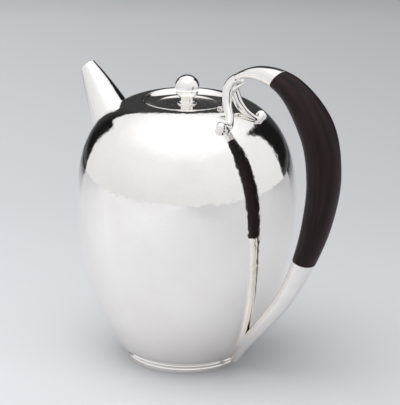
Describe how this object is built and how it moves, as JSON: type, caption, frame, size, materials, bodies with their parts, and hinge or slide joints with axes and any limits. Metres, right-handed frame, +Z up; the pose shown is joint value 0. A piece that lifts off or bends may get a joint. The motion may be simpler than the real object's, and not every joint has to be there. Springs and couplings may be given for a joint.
{
  "type": "coffee pot",
  "caption": "Egg-shaped silver coffee pot on a ring foot, with a short tapered spout, a dished hinged lid with a ball knob, and an arched handle with an ebony grip.",
  "frame": {"origin": "middle of the footprint of the whole pot, on the surface it stands on", "axes": "+Z up, +X toward the handle, -X toward the spout, Y across; the pot is mirror-symmetric about the XZ plane"},
  "size_m": [0.2074, 0.14, 0.202],
  "materials": {
    "silver": "polished silver with a faint planished undulation",
    "inner_silver": "dull polished silver, inside faces",
    "steel": "plain machined",
    "ebony": "oiled satin ebony"
  },
  "bodies": {
    "pot": {"vessel": "silver", "mouth_seat": "inner_silver", "foot_collar": "silver", "foot_rim": "silver", "spout": "silver", "near_knuckle": "silver", "far_knuckle": "silver", "hinge_pin": "steel", "handle_arch": "silver", "grip": "ebony", "handle_tail": "silver", "upper_grip_pin": "silver", "lower_grip_pin": "silver", "near_scroll_leg": "silver", "near_scroll_ball": "silver", "far_scroll_leg": "silver", "far_scroll_ball": "silver", "arch_spur": "silver"},
    "lid": {"lid_cover": "silver", "lid_rim": "silver", "lid_collar": "inner_silver", "knob_ball": "silver", "knob_stem": "silver", "knob_stud": "steel", "knob_nut": "steel", "lid_knuckle": "silver"}
  },
  "joints": [
    {"name": "lid_hinge", "type": "hinge", "parent": "pot", "child": "lid", "pos_m": [0.01469, 0, 0.1702], "axis": [0, 1, 0], "range_deg": [0, 80]}
  ]
}
